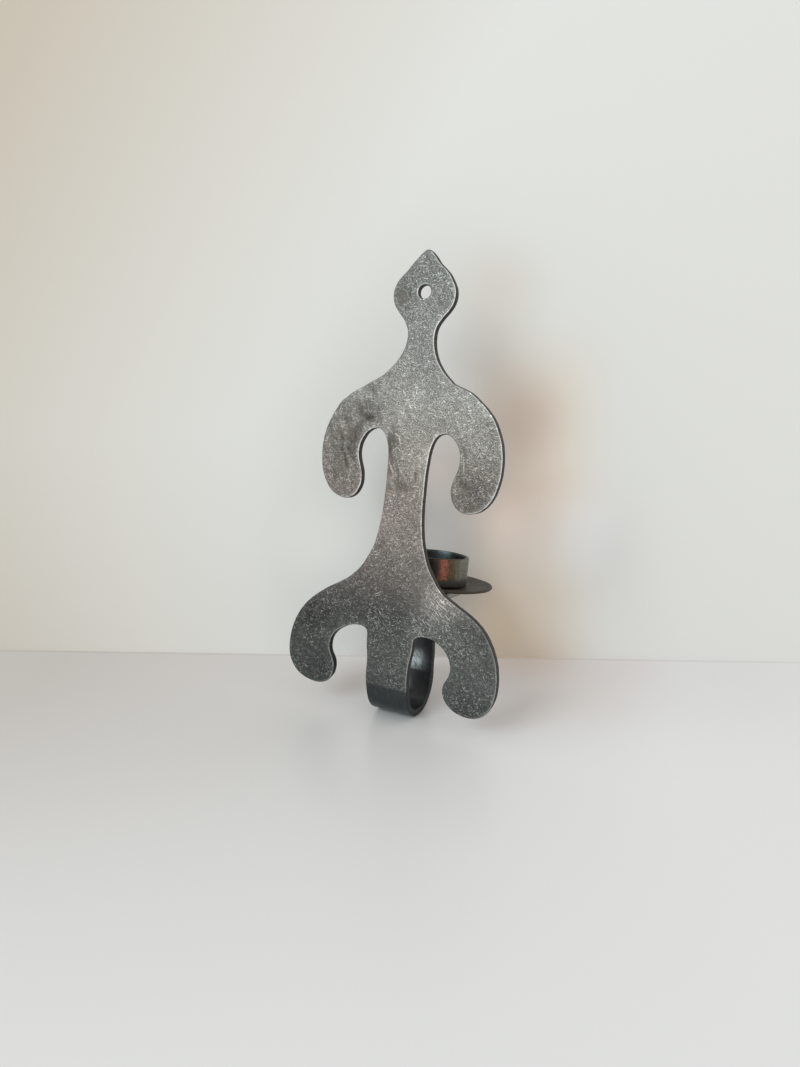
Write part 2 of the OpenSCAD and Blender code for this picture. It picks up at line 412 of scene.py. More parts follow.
def face_triangles(rings, grid):
    """Triangles over the rims' inner rings and the grid, which are numbered in turn."""
    edges = []
    first = 0
    for places in rings:
        count = len(places)
        edges += [(first + k, first + (k + 1) % count) for k in range(count)]
        first += count
    places = [Vector(p) for p in np.vstack(rings + [grid])]
    made, _, triangles, sources, _, _ = geometry.delaunay_2d_cdt(
        places, edges, [], 0, MESH_TOLERANCE, True)
    centres = np.array([np.mean([made[i] for i in triangle], axis=0) for triangle in triangles])
    return [[sources[i][0] for i in triangle]
            for triangle, wanted in zip(triangles, in_metal(centres, rings)) if wanted]


def forged_sheet(rims):
    """The whole sheet between its rims, which are loops with the metal inside or outside them."""
    sheet = Sheet()
    loops = [loop for loop, _ in rims]
    rings = [loop + inward_normals(loop, solid) * RIM_REACH for loop, solid in rims]
    outside = []
    inside_face = []
    for loop, solid in rims:
        first_ring, last_ring = sheet.add_rim(loop, solid)
        outside += first_ring
        inside_face += last_ring
    grid = face_grid(loops, rings)
    outside += sheet.add(grid, OUTSIDE, 0.0)
    inside_face += sheet.add(grid, INSIDE, 0.0)
    for triangle in face_triangles(rings, grid):
        sheet.faces.append(tuple(outside[i] for i in triangle[::-1]))
        sheet.faces.append(tuple(inside_face[i] for i in triangle))
    return sheet


# Dents that the photo shows in the plate's wall side: place, reach along and across, turn, depth
DENTS = [
    ((18.6, -36.8), (3.6, 1.6), 35, 0.40), ((20, -46.5), (4.5, 2.2), 35, 0.50),
    ((28, -49), (3.4, 2.2), 70, 0.35), ((25.2, -57.5), (6.4, 1.3), 80, 0.45),
    ((31, -60), (5.0, 2.4), 100, 0.25), ((7.4, -55), (5.0, 1.9), 86, 0.60),
    ((6.6, -64), (4.4, 1.6), 70, 0.42), ((2.9, -72), (4.2, 2.8), 40, 0.42),
    ((-22.4, -69), (3.8, 2.4), 60, 0.42), ((-21.4, -56.5), (3.0, 1.4), 95, 0.30),
    ((-34, -66), (5.0, 2.4), 70, 0.20), ((-3.7, -65.6), (3.2, 0.6), 84, 0.22),
    ((9.5, -4), (4.0, 2.6), 75, 0.25), ((8.6, -97), (3.0, 1.8), 60, 0.30),
    ((4.0, -112), (5.5, 3.0), 20, 0.16), ((-26, -47), (6.0, 3.4), 20, 0.14),
    ((-10, -122), (7.0, 4.0), 30, 0.18), ((33, -131), (6.0, 4.0), 70, 0.20),
    ((-30, -140), (6.0, 3.0), 120, 0.16),
]
# A hollow in the leg's inner face, under its painted reflection: place, reach, depth
LEG_HOLLOW = ((3.4, -197.0), 7.0, 1.15)
# Thin bright lips pushed up beside the dents and the notches: from, to, half width
LIPS = [
    ((9.8, -50.0), (7.2, -52.2), 0.45), ((6.4, -52.0), (4.6, -53.2), 0.50),
    ((4.5, -53.2), (3.6, -56.8), 0.50), ((6.2, -58.2), (4.4, -57.2), 0.45),
    ((4.6, -57.3), (2.4, -59.2), 0.50), ((7.9, -62.2), (5.4, -67.6), 0.50),
    ((-5.7, -66.0), (-5.9, -69.4), 0.55), ((-6.0, -72.0), (-6.4, -75.5), 0.55),
    ((31.6, -46.2), (29.6, -42.6), 0.40), ((-26.8, -55.4), (-27.8, -54.0), 0.50),
    ((-21.7, -48.0), (-25.0, -49.0), 0.30), ((-28.8, -49.6), (-30.9, -47.4), 0.30),
    ((-21.0, -53.9), (-24.2, -52.3), 0.40), ((-21.8, -58.6), (-23.0, -64.8), 0.60),
    ((-30.0, -62.6), (-34.2, -63.4), 0.30), ((-30.3, -59.2), (-33.8, -60.0), 0.28),
]
# Dark creases that the blows have left: from, to, half width
CREASES = [
    ((15.5, -46.0), (20.0, -48.6), 1.9), ((19.0, -47.8), (22.8, -51.2), 2.2),
    ((23.0, -51.0), (22.4, -57.5), 1.2), ((26.0, -57.0), (24.8, -62.2), 1.3),
    ((27.2, -61.0), (25.0, -67.0), 1.3), ((-2.5, -59.5), (-4.8, -57.4), 0.60),
    ((-3.4, -63.8), (-4.3, -70.5), 0.60), ((8.6, -52.0), (7.6, -61.0), 1.9),
    ((7.4, -63.4), (6.6, -68.2), 1.1),
]
# Where hard blows have crumpled the wall side: place, reach, how strongly
CRUMPLED = [
    ((22, -44), 10, 1.0), ((27, -61), 9, 1.0), ((6.5, -58), 6, 1.0), ((4, -71), 7, 1.0),
    ((-22, -66), 6, 0.9), ((-12, -53), 4, 0.6), ((8, -6), 7, 0.8), ((-3, -12), 5, 0.6),
    ((10, -98), 6, 0.7), ((0, -112), 8, 0.4), ((-20, -113), 7, 0.5), ((-30, -50), 9, 0.4),
    ((35, -128), 9, 0.5), ((-3, -130), 7, 0.5),
]
# Parts of the wall side that are darker or lighter than their height's tone, partly the iron's own tone
# and partly painted shade, the small bright spots painted glints: place, reach, share
SHADES_AND_GLINTS = [
    ((30, -56), 15, 0.58), ((20, -44), 8, 0.80), ((20.5, -40.5), 3, 1.30), ((29.5, -50), 4, 1.20),
    ((-28, -68), 13, 0.66), ((-26, -77), 5, 0.84), ((-38, -52), 8, 0.84), ((-7, -60), 4.5, 1.22),
    ((8, 0), 8, 0.84), ((36, -128), 16, 0.64), ((-36, -150), 9, 0.94), ((-19, -112), 9, 1.85),
    ((24, -58), 16, 0.93), ((-30, -60), 16, 0.92), ((-38, -128), 12, 1.16), ((-18, -117), 9, 1.20),
    ((-10, -122), 6, 1.20), ((9, -95), 7, 0.88), ((20.5, -44.5), 6, 0.86), ((-31, -56), 9, 0.87),
    ((-28, -73), 7, 0.78), ((26, -72), 9, 0.90), ((-19, -120), 8, 1.15), ((-3, -119), 9, 0.80),
    ((35, -134), 10, 0.92), ((31, -147), 7, 0.88),
]
# Smooth brown scale that the brush didn't reach: place, reach, how complete
STAINS = [
    ((9.4, -57.5), 3.2, 0.90), ((6.6, -54.5), 2.8, 0.45), ((2.9, -72.2), 5.0, 0.62),
    ((8.2, -66), 2.6, 0.60), ((20, -45.5), 7.0, 0.34), ((26, -55), 8.0, 0.46),
    ((28, -69), 7.0, 0.42), ((-22.8, -69.8), 4.6, 0.62), ((-21.2, -55.8), 2.4, 0.50),
    ((-27, -77), 5.0, 0.42), ((8.5, -3), 5.0, 0.50), ((-1, -13), 4.0, 0.30),
    ((34, -125), 12.0, 0.30),
]
# Where the blows have smeared the surface into soft streaks: place, reach, how much
SMEARED = [
    ((27, -54), 13, 1.0), ((19, -42), 7, 1.0), ((4, -70), 7, 0.8), ((-24, -70), 7, 0.7),
    ((8, 0), 6, 0.7), ((34, -126), 12, 0.5),
]
# Where the brush has scratched hardest: place, reach, how much
SCRUBBED = [
    ((-20, -113), 8, 1.0), ((-12.5, -122), 6, 0.8), ((-6, -60), 5, 0.6), ((-30, -55), 9, 0.5),
    ((0, -35), 12, 0.3), ((-28, -128), 9, 0.5), ((3, -90), 8, 0.4),
]

FOLD_HEIGHT = 0.26
# Share of the hammering on the strap, the run in which it fades, and the calm round the rivet
STRAP_HAMMERED = 0.45
HAMMER_FADE = 6.0
RIVET_CALM = 0.8
# The rim's bright line, partly wear and partly a painted highlight: the side where it brightens, its
# middle, width and least share
EDGE_BRIGHT_TOWARDS = (0.85, 0.45)
EDGE_BRIGHT_MIDDLE = EDGE_R * 0.7
EDGE_BRIGHT_WIDTH = 0.28
LEAST_EDGE_BRIGHT = 0.08
# For the materials: where the dark side begins, how far apart the faces are, and a full dent
FLANK_SINK = EDGE_R * 0.1
FACES_APART = 6.0
FULL_DENT = 0.5


def hammered(flat, seed):
    """Height of the hammered surface: slow waves and shallow overlapping dents."""
    places = layer(flat, seed)
    waves = ripple(places, LONG_WAVE, seed) + ripple(places, SHORT_WAVE, seed + 1)
    blows = np.abs(ripple(places, BLOW, seed + 2)) + ripple(places, GRAIN, seed + 3)
    return waves + blows - MEAN_HEIGHT


def dent_depth(flat):
    out = np.zeros(len(flat))
    for place, (along, across), turn, depth in DENTS:
        angle = math.radians(turn)
        dx, dz = (flat - place).T
        u = (dx * math.cos(angle) + dz * math.sin(angle)) / along
        v = (-dx * math.sin(angle) + dz * math.cos(angle)) / across
        out += depth * np.exp(-(u**2 + v**2))
    return out


def crumpled(flat, seed):
    """Folds of the crumpled zones, from -1 in a valley to 1 on a ridge."""
    places = layer(flat, seed)
    bend_x = ripple(places, FOLD_BEND, seed)
    bend_z = ripple(places, FOLD_BEND, seed + 1)
    bent = places + np.c_[bend_x, bend_z, np.zeros(len(flat))]
    ridges = 1 - RIDGE_FALL * np.hypot(ripple(bent, FOLD, seed + 2), RIDGE_ROUND)
    lumps = ripple(bent, LUMP, seed + 3)
    return np.clip(FOLD_SHARE * ridges + FOLD_SHARE * lumps, -1, 1) * zones(flat, CRUMPLED)


def shade(flat):
    """Share of its height's tone that the plate has, partly painted shade and glints."""
    out = np.ones(len(flat))
    for place, reach, share in SHADES_AND_GLINTS:
        out *= 1 - (1 - share) * near(flat, place, reach)
    return out


def zones(flat, table):
    """How far places lie within any of a table's zones."""
    return np.max([strength * near(flat, place, reach) for place, reach, strength in table], axis=0)


def face_height(flat, share, sink, dents, folds):
    """How far in from the true outside each vertex lies."""
    thick = thickness_at(flat)
    height = np.select([share == OUTSIDE, share == INSIDE], [sink, thick - sink], thick / 2)
    wall_side = hammered(flat, 1) - dents + FOLD_HEIGHT * folds
    rough = np.select([share == OUTSIDE, share == INSIDE], [-wall_side, hammered(flat, 7)], 0)
    on_plate = np.clip((flat[:, 1] - CURL_Z + HAMMER_FADE) / HAMMER_FADE, 0, 1)
    rough = rough * (STRAP_HAMMERED + (1 - STRAP_HAMMERED) * on_plate)
    rough = rough * (1 - RIVET_CALM * near(flat, RIVET_PLACE, 4 * RIVET_HOLE_R))
    place, reach, depth = LEG_HOLLOW
    return height + rough - depth * near(flat, place, reach) * (share == INSIDE)


def edge_wear_and_highlight(flat, rims):
    """How bright the rim line is, partly wear and partly a painted highlight, most on the -X side and
    underneath.
    """
    distance, which = nearest(flat, np.vstack([loop for loop, _ in rims]))
    inward = np.vstack([inward_normals(loop, solid) for loop, solid in rims])[which]
    worn_side = np.clip(inward @ np.array(EDGE_BRIGHT_TOWARDS), 0, 1)
    return bump(distance - EDGE_BRIGHT_MIDDLE, EDGE_BRIGHT_WIDTH) * (LEAST_EDGE_BRIGHT + (1 - LEAST_EDGE_BRIGHT) * worn_side)


def link(name, data):
    made = bpy.data.objects.new(name, data)
    bpy.context.scene.collection.objects.link(made)
    return made


def add_mesh(name, verts_mm, faces, node, attributes):
    """A smooth mesh object that stands for a CAD node."""
    mesh = bpy.data.meshes.new(name)
    mesh.from_pydata([tuple(v) for v in verts_mm * MM], [], faces)
    mesh.validate()
    tidy = bmesh.new()
    tidy.from_mesh(mesh)
    bmesh.ops.recalc_face_normals(tidy, faces=tidy.faces)
    tidy.to_mesh(mesh)
    tidy.free()
    mesh.polygons.foreach_set("use_smooth", [True] * len(mesh.polygons))
    for key, values in attributes.items():
        is_vector = values.ndim == 2
        stored = mesh.attributes.new(key, "FLOAT_VECTOR" if is_vector else "FLOAT", "POINT")
        stored.data.foreach_set("vector" if is_vector else "value", values.astype(np.float32).ravel())
    piece = link(name, mesh)
    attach(piece, "root")
    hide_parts(node)
    return piece


def build_plate():
    """The plate, curl, leg and arm: one hammered sheet, bent along the strap."""
    rims = [(unrolled_outline(), True),
            (ring(HOLE_PLACE, HOLE_R, HOLE_POINTS), False),
            (ring(RIVET_PLACE, RIVET_HOLE_R, RIVET_POINTS), False)]
    sheet = forged_sheet(rims)
    x, z, share, sink = np.array(sheet.verts).T
    flat = np.c_[x, z]
    dents = dent_depth(flat)
    folds = crumpled(flat, 21)
    height = face_height(flat, share, sink, dents, folds)
    made = settled(flat)
    y, z, into_y, into_z = strap_place(CURL_Z - made[:, 1])
    verts = np.c_[made[:, 0], y + into_y * height, z + into_z * height]
    outside = share == OUTSIDE
    return add_mesh("forged_plate", verts, sheet.faces, "back_plate", {
        "flat": np.c_[flat, share * FACES_APART],
        "edge": edge_wear_and_highlight(flat, rims),
        "flank": (share == MIDDLE) | (sink > FLANK_SINK),
        "face": ~outside,
        "hollow": np.clip(dents / FULL_DENT, 0, 1) * outside,
        "fold": folds * outside,
        "shade": shade(flat),
        "stain": zones(flat, STAINS) * outside,
        "smear": zones(flat, SMEARED),
        "scrub": zones(flat, SCRUBBED),
    })


# Turned pieces: the pan, the cup, the spacer and the rivet

# Their unevenness: its speed round a piece, its seeds, where it sets in, its height's and its grain
WANDER_SPEED = 2.1
WANDER_SEED = 3.3
SET_IN = 4.0
LIFT_SPEED = 0.8
LIFT_SHIFT = Vector((5, 1, 2))
GRAIN_WIDTH = 4.0
GRAIN_HEIGHT = 0.04
LIFT_GRAIN = 1.3
ON_AXIS = 1e-6
# Radius of the cylinder that the bands of colour are laid out on
AROUND_R = 14


def turned(profile, count, wobble):
    """Vertices and faces of a profile of (radius, z) turned about the candle's axis."""
    verts = []
    rows = []
    for radius, z in profile:
        steps = count if radius > ON_AXIS else 1
        rows.append(range(len(verts), len(verts) + steps))
        for k in range(steps):
            angle = 2 * math.pi * k / steps
            r, h = wobble(radius, z, angle)
            verts.append((r * math.cos(angle), CANDLE_Y + r * math.sin(angle), h))
    faces = []
    for upper, lower in zip(rows, rows[1:]):
        for k in range(count):
            nxt = (k + 1) % count
            corners = [upper[k % len(upper)], upper[nxt % len(upper)],
                       lower[nxt % len(lower)], lower[k % len(lower)]]
            faces.append(tuple(dict.fromkeys(corners)))
    return np.array(verts), faces


def arc_points(centre, radius, start, end, steps):
    """Points of an arc, with its start and end in degrees."""
    turns = np.radians(np.linspace(start, end, steps + 1))
    return [(centre[0] + radius * math.cos(a), centre[1] + radius * math.sin(a)) for a in turns]


def fine(points, spacing):
    """The open profile with extra points, no further apart than the spacing."""
    out = [points[0]]
    for a, b in zip(points, points[1:]):
        steps = max(1, math.ceil(math.dist(a, b) / spacing))
        for k in range(1, steps + 1):
            out.append((a[0] + (b[0] - a[0]) * k / steps, a[1] + (b[1] - a[1]) * k / steps))
    return out


def uneven(amount, lift, seed, fixed_r):
    """Hand-made unevenness: radius and height wander slowly round a piece."""
    def move(radius, z, angle):
        x = math.cos(angle)
        y = math.sin(angle)
        place = Vector((WANDER_SPEED * x, WANDER_SPEED * y, seed * WANDER_SEED))
        grain = Vector((radius * x, radius * y, z + seed * GRAIN_WIDTH)) / GRAIN_WIDTH
        free = max(0.0, min(1.0, (radius - fixed_r) / SET_IN))
        out = amount * noise.noise(place) + GRAIN_HEIGHT * noise.noise(grain)
        up = lift * noise.noise(place * LIFT_SPEED + LIFT_SHIFT)
        up += GRAIN_HEIGHT * noise.noise(grain * LIFT_GRAIN)
        return radius + free * out, z + free * up
    return move


def add_turned(name, profile, count, wobble, node):
    """A turned piece, laid out on a cylinder for its bands of colour."""
    verts, faces = turned(profile, count, wobble)
    angle = np.arctan2(verts[:, 1] - CANDLE_Y, verts[:, 0])
    radius = np.hypot(verts[:, 1] - CANDLE_Y, verts[:, 0])
    around = np.c_[np.cos(angle) * AROUND_R, np.sin(angle) * AROUND_R, verts[:, 2]]
    return add_mesh(name, verts, faces, node, {"around": around, "radius": radius})


def closed(profile):
    return profile + profile[:1]


# The pan's flat middle, its bend's width and share of the rise, and half its lip's turn in degrees
PAN_MIDDLE = 6
PAN_BEND = 1.4
PAN_BEND_RISE = 0.1
LIP_TURN = 80


def build_pan():
    """A thin saucer with a softly rounded rim, hammered a little uneven."""
    under_z = pan_low[2]
    rise = pan_high[2] - under_z - PAN_T
    half = PAN_T / 2
    lip = arc_points((pan_high[0] - half, under_z + rise + half), half, -LIP_TURN, LIP_TURN, 6)
    bend = [(PAN_FLOOR_R + PAN_BEND * s, under_z + rise * PAN_BEND_RISE * s * s) for s in (0, 0.5, 1)]
    under = [(RIVET_HOLE_R, under_z), (RIVET_HOLE_R + PAN_MIDDLE, under_z)] + bend
    over = [(r, z + PAN_T) for r, z in under[::-1]]
    profile = closed(fine(under + lip + over, spacing=1.6))
    wobble = uneven(amount=0.22, lift=0.28, seed=3, fixed_r=PAN_FLOOR_R - 2)
    return add_turned("saucer", profile, 144, wobble, "drip_pan")


def build_cup():
    """A short cup with a rounded rim, a fillet inside and a soft foot."""
    outer_r = cup_high[0]
    half = CUP_WALL / 2
    foot_centre = (outer_r - CUP_FOOT_R, cup_low[2] + CUP_FOOT_R)
    outside = [(RIVET_HOLE_R, cup_low[2])] + arc_points(foot_centre, CUP_FOOT_R, -90, 0, 5)
    rim = arc_points((outer_r - half, cup_high[2] - half), half, 0, 180, 8)
    fillet_centre = (outer_r - CUP_WALL - CUP_FILLET, CUP_FLOOR_Z + CUP_FILLET)
    inner = arc_points(fillet_centre, CUP_FILLET, 0, -90, 6) + [(RIVET_HOLE_R, CUP_FLOOR_Z)]
    profile = closed(fine(outside + rim + inner, spacing=1.2))
    wobble = uneven(amount=0.12, lift=0.10, seed=8, fixed_r=9.0)
    return add_turned("cup", profile, 128, wobble, "candle_cup")


SPACER_EDGE = 0.35


def build_spacer():
    edge_r = spacer_high[0] - SPACER_EDGE
    low = spacer_low[2]
    high = spacer_high[2]
    under = [(RIVET_HOLE_R, low)] + arc_points((edge_r, low + SPACER_EDGE), SPACER_EDGE, -90, 0, 3)
    over = arc_points((edge_r, high - SPACER_EDGE), SPACER_EDGE, 0, 90, 3) + [(RIVET_HOLE_R, high)]
    profile = closed(fine(under + over, spacing=1.0))
    wobble = uneven(amount=0.12, lift=0.0, seed=11, fixed_r=5.0)
    return add_turned("washer", profile, 72, wobble, "spacer")


# A peened head: how much of it is flat, and how sharply it then falls
DOME_STEPS = 8
DOME_FLAT = 0.35
DOME_POWER = 2.2
# The hammer's marks on it: a wandering edge, and an uneven top
PEEN_START = 0.2
PEEN_WANDER = 0.06
PEEN_WANDER_WIDTH = 3.0
PEEN_SHIFT = Vector((4, 4, 4))
PEEN_END = 0.5
PEEN_HEIGHT = 0.10
PEEN_WIDTH = 2.1


def hammered_dome(radius, height, base_z):
    """Profile of a peened head from its centre out, flat on top."""
    out = []
    for s in np.linspace(0, 1, DOME_STEPS + 1):
        drop = (max(0, s - DOME_FLAT) / (1 - DOME_FLAT)) ** DOME_POWER
        out.append((radius * s, base_z + height * (1 - drop)))
    return out


def peened(radius, z, angle):
    """The hammer's marks on the rivet: the heads' edges wander and their tops are uneven."""
    place = Vector((radius * math.cos(angle), CANDLE_Y + radius * math.sin(angle), z))
    r = radius
    h = z
    if radius > RIVET_SHANK_R + PEEN_START:
        r = radius * (1 + PEEN_WANDER * noise.noise(place / PEEN_WANDER_WIDTH + PEEN_SHIFT))
    if radius < rivet_high[0] - PEEN_END:
        h = z + PEEN_HEIGHT * noise.noise(place / PEEN_WIDTH)
    return r, h


def build_rivet():
    """A rivet with a peened head in the cup and another under the arm."""
    head = hammered_dome(rivet_high[0], rivet_high[2] - CUP_FLOOR_Z, CUP_FLOOR_Z)
    tail = hammered_dome(RIVET_TAIL_R, rivet_low[2] - ARM_Z, ARM_Z)
    shank = [(RIVET_SHANK_R, CUP_FLOOR_Z), (RIVET_SHANK_R, ARM_Z)]
    profile = fine(head + shank + tail[::-1], spacing=0.8)
    return add_turned("peened_rivet", profile, 48, peened, "rivet")


# Materials

class Wire:
    """A value inside a material. Its arithmetic adds nodes."""

    def __init__(self, shader, socket):
        self.shader = shader
        self.socket = socket

    def __add__(self, other):
        return self.shader.math("ADD", self, other)

    def __sub__(self, other):
        return self.shader.math("SUBTRACT", self, other)

    def __rsub__(self, other):
        return self.shader.math("SUBTRACT", other, self)

    def __mul__(self, other):
        return self.shader.math("MULTIPLY", self, other)

    def __abs__(self):
        return self.shader.math("ABSOLUTE", self)


class Shader:
    """A material whose node tree is written line by line."""

    def __init__(self, name):
        self.material = bpy.data.materials.new(name)
        self.material.use_nodes = True
        self.tree = self.material.node_tree
        self.tree.nodes.clear()

    def plug(self, socket, value):
        if isinstance(value, Wire):
            self.tree.links.new(value.socket, socket)
        elif socket.type == "RGBA":
            socket.default_value = (*value, 1)
        else:
            socket.default_value = value

    def add(self, kind, inputs=(), output=0, **settings):
        """Adds a node and returns one of its outputs."""
        made = self.tree.nodes.new("ShaderNode" + kind)
        for key, value in settings.items():
            setattr(made, key, value)
        for key, value in dict(inputs).items():
            self.plug(made.inputs[key], value)
        return Wire(self, made.outputs[output])

    def attribute(self, name, output="Fac"):
        return self.add("Attribute", output=output, attribute_name=name)

    def place_mm(self):
        place = self.add("TexCoord", output="Object")
        return self.add("VectorMath", {0: place, "Scale": 1 / MM}, operation="SCALE")

    def math(self, operation, a, b=0.0, clamp=False):
        return self.add("Math", {0: a, 1: b}, operation=operation, use_clamp=clamp)

    def vector(self, operation, a, b=(0, 0, 0), output=0):
        return self.add("VectorMath", {0: a, 1: b}, output, operation=operation)

    def most(self, first, *others):
        for other in others:
            first = self.math("MAXIMUM", first, other)
        return first

    def noise(self, vector, scale, detail=4.0, roughness=0.55, distortion=0.0, output="Fac"):
        inputs = {"Vector": vector, "Scale": scale, "Detail": detail,
                  "Roughness": roughness, "Distortion": distortion}
        return self.add("TexNoise", inputs, output)

    def turn(self, vector, angle=0.0, scale=(1, 1, 1), shift=(0, 0, 0)):
        """The vector turned about its third axis, then scaled and shifted."""
        turned_vector = self.add("Mapping", {
            "Vector": vector, "Rotation": (0, 0, math.radians(angle))})
        return self.add("Mapping", {"Vector": turned_vector, "Scale": scale, "Location": shift})

    def window(self, value, low, high, to_low=0.0, to_high=1.0):
        """From to_low at low to to_high at high, smooth and held beyond."""
        inputs = {"Value": value, "From Min": low, "From Max": high, "To Min": to_low, "To Max": to_high}
        return self.add("MapRange", inputs, interpolation_type="SMOOTHSTEP")

    def mix(self, amount, a, b, blend="MIX"):
        return self.add("Mix", {0: amount, 6: a, 7: b}, 2, data_type="RGBA", blend_type=blend)

    def tint(self, colour, share, amount=1.0):
        """The colour times a share of it."""
        return self.mix(amount, colour, share, "MULTIPLY")

    def blend(self, amount, a, b):
        """A number between a and b."""
        return self.add("Mix", {0: amount, 2: a, 3: b}, data_type="FLOAT")

    def ramp(self, share, stops):
        """The colour at a share of the way along stops of (position, colour)."""
        made = self.tree.nodes.new("ShaderNodeValToRGB")
        self.plug(made.inputs[0], share)
        marks = made.color_ramp.elements
        marks.remove(marks[1])
        marks[0].color = (*stops[0][1], 1)
        for position, colour in stops[1:]:
            marks.new(position).color = (*colour, 1)
        return Wire(self, made.outputs[0])

    def split(self, vector):
        return [self.add("SeparateXYZ", {0: vector}, k) for k in range(3)]

    def bump(self, height, strength, distance_mm):
        return self.add("Bump", {
            "Height": height, "Strength": strength, "Distance": distance_mm * MM})

    def surface(self, **inputs):
        """A principled shader."""
        named = {key.replace("_", " "): value for key, value in inputs.items()}
        return self.add("BsdfPrincipled", named)

    def finish(self, surface):
        output = self.tree.nodes.new("ShaderNodeOutputMaterial")
        self.plug(output.inputs["Surface"], surface)
        return self.material


# The wire brush's scratches: turn, length, seed, and for the hard ones how rare
BRUSH_LINES = [(35, 2.2, 1), (-30, 1.8, 2), (80, 1.8, 3), (5, 2.6, 4), (125, 2.8, 5)]
BRUSH_RARITY = 0.672
BRUSH_WIDTH = 0.42
HARD_LINES = [(-38, 3.0, 8, 0.60), (62, 2.0, 9, 0.62)]
HARD_WIDTH = 0.50


def scratches(s, flat, angle, length, width, rarity, seed):
    """Short thin lines that run one way: 1 on a scratch and 0 off it."""
    stretched = s.turn(flat, angle, (1 / length, 1 / width, 1), (seed * 3.7, seed * 1.3, seed))
    return s.window(s.noise(stretched, 1.0, 1.0, 0.5), rarity, rarity + 0.03)


def hairlines(s, flat, scale, seed):
    """Curled hairlines broken into short pieces: 1 on a line and 0 off it."""
    moved = s.turn(flat, shift=(seed * 5.1, seed * -2.9, seed * 1.7))
    line = s.window(abs(s.noise(moved, scale, 1.0, 0.5) - 0.5), 0.050, 0.020)
    pieces = s.noise(moved, scale * 1.3, 1.0, 0.5, 2.0)
    return line * s.window(pieces, 0.50, 0.54)


def stroke(s, flat, start, end, half_width):
    """1 on a thin mark between two flat places, 0 beyond its edge."""
    half_length = math.dist(start, end) / 2 + half_width
    turn = math.degrees(math.atan2(end[1] - start[1], end[0] - start[0]))
    to_middle = (-(start[0] + end[0]) / 2, -(start[1] + end[1]) / 2, 0)
    moved = s.vector("ADD", flat, to_middle)
    shaped = s.turn(moved, -turn, (1 / half_length, 1 / half_width, 0.3))
    return s.window(s.vector("LENGTH", shaped, output="Value"), 1.0, 0.15)


def strokes(s, flat, table):
    return s.most(*[stroke(s, flat, start, end, half_width) for start, end, half_width in table])


def brush_marks(s, p):
    """What a wire brush leaves: specks, hairlines and scratches, densest on the upper plate."""
    specks = s.window(s.noise(p.flat, 3.0, 2.0, 0.6, 1.0), 0.55, 0.63)
    specks = specks * s.blend(p.upper, 0.10, 0.55)
    curls = s.most(hairlines(s, p.flat, 0.75, 1), hairlines(s, p.flat, 1.05, 2))
    curls = curls * s.blend(p.upper, 0.22, 0.32)
    crowds = s.window(s.noise(p.flat, 0.11, 3.0, 0.6, 0.5), 0.40, 0.60, 0.45, 1.0)
    lines = s.most(*[scratches(s, p.flat, angle, length, BRUSH_WIDTH, BRUSH_RARITY, seed)
                     for angle, length, seed in BRUSH_LINES])
    lines = lines * s.blend(p.upper, crowds, 1.0)
    hard = s.most(*[scratches(s, p.flat, angle, length, HARD_WIDTH, rarity, seed)
                    for angle, length, seed, rarity in HARD_LINES])
    hard = hard * s.window(p.scrub, 0.15, 0.8)
    lines = s.most(lines, curls, hard)
    return s.most(specks, lines), lines


# The plate's mean tone from its foot to its tip, partly the iron's own tone and partly painted shade:
# height, colour
PLATE_TONES = [
    (-156, (0.060, 0.068, 0.067)), (-135, (0.070, 0.077, 0.074)), (-120, (0.060, 0.060, 0.057)),
    (-104, (0.120, 0.104, 0.095)), (-92, (0.155, 0.130, 0.117)), (-76, (0.168, 0.138, 0.121)),
    (-60, (0.200, 0.181, 0.160)), (-40, (0.207, 0.197, 0.182)), (-20, (0.140, 0.135, 0.126)),
    (14, (0.097, 0.099, 0.095)),
]
# Pairs of colours that the iron's mottling mixes, dark and light
BROWN_SCALE = ((0.080, 0.071, 0.057), (0.124, 0.110, 0.093))
FIRE_SCALE = ((0.038, 0.046, 0.050), (0.058, 0.063, 0.064))
INNER_SCALE = ((0.070, 0.077, 0.084), (0.098, 0.104, 0.112))
PLATE_SIDE = ((0.018, 0.015, 0.013), (0.050, 0.043, 0.036))
CURL_SIDE = ((0.020, 0.021, 0.022), (0.044, 0.045, 0.046))
# Colours of the plate's marks, of its bright rim, partly a painted highlight, of the leg's painted
# reflection, and of the arm's painted light from below
CREST = (0.36, 0.35, 0.33)
CREASE = (0.028, 0.022, 0.016)
LIP = (0.60, 0.58, 0.54)
BRUSHED_BRIGHT = (0.70, 0.70, 0.67)
RIM_BRIGHT = (0.86, 0.86, 0.84)
LEG_PAINTED_REFLECTION = (0.76, 0.91, 0.94)
ARM_UNDERSIDE_PAINTED_LIGHT = (0.200, 0.180, 0.158)
ARM_SIDE_PAINTED_LIGHT = (0.300, 0.275, 0.250)
# Shares of the plate's tone
BRUSH_GAIN = (2.8, 2.8, 2.8)
RIM_GAIN = (3.0, 3.0, 3.0)
CANDLE_SIDE = (0.80, 0.77, 0.73)
# Ways of the smeared streaks and of the streaks in the leg's painted reflection, in degrees
SMEAR_TURN = -74
REFLECTION_TURN = 50
# Heights between which the upper plate, the curl's side and the inside's brushing set in, and the
# ragged end of the brushing outside. The lobes lie beyond the tongue's half width
UPPER_PLATE = (-116.0, -86.0)
CURL_SIDE_Z = (-132.0, -140.0)
INNER_BRUSHED = (-150.0, -136.0)
BRUSH_END = -150.2
BRUSH_RAG = 2.4
TONGUE_HALF = 13.0
# The arm's painted light from below sets in here along the unrolled strap
ARM_START = CURL_Z - BEND_END
ARM_COLOURED = (ARM_START, ARM_START - 6.0)
# A painted reflection on the inside of the leg just above the curl: from its sharp lower end up, and
# across
REFLECTION_FOOT = -190.8
REFLECTION_CREST = -195.6
REFLECTION_TOP = -202.0
REFLECTION_MIDDLE = -0.4
REFLECTION_REACH = 8.5


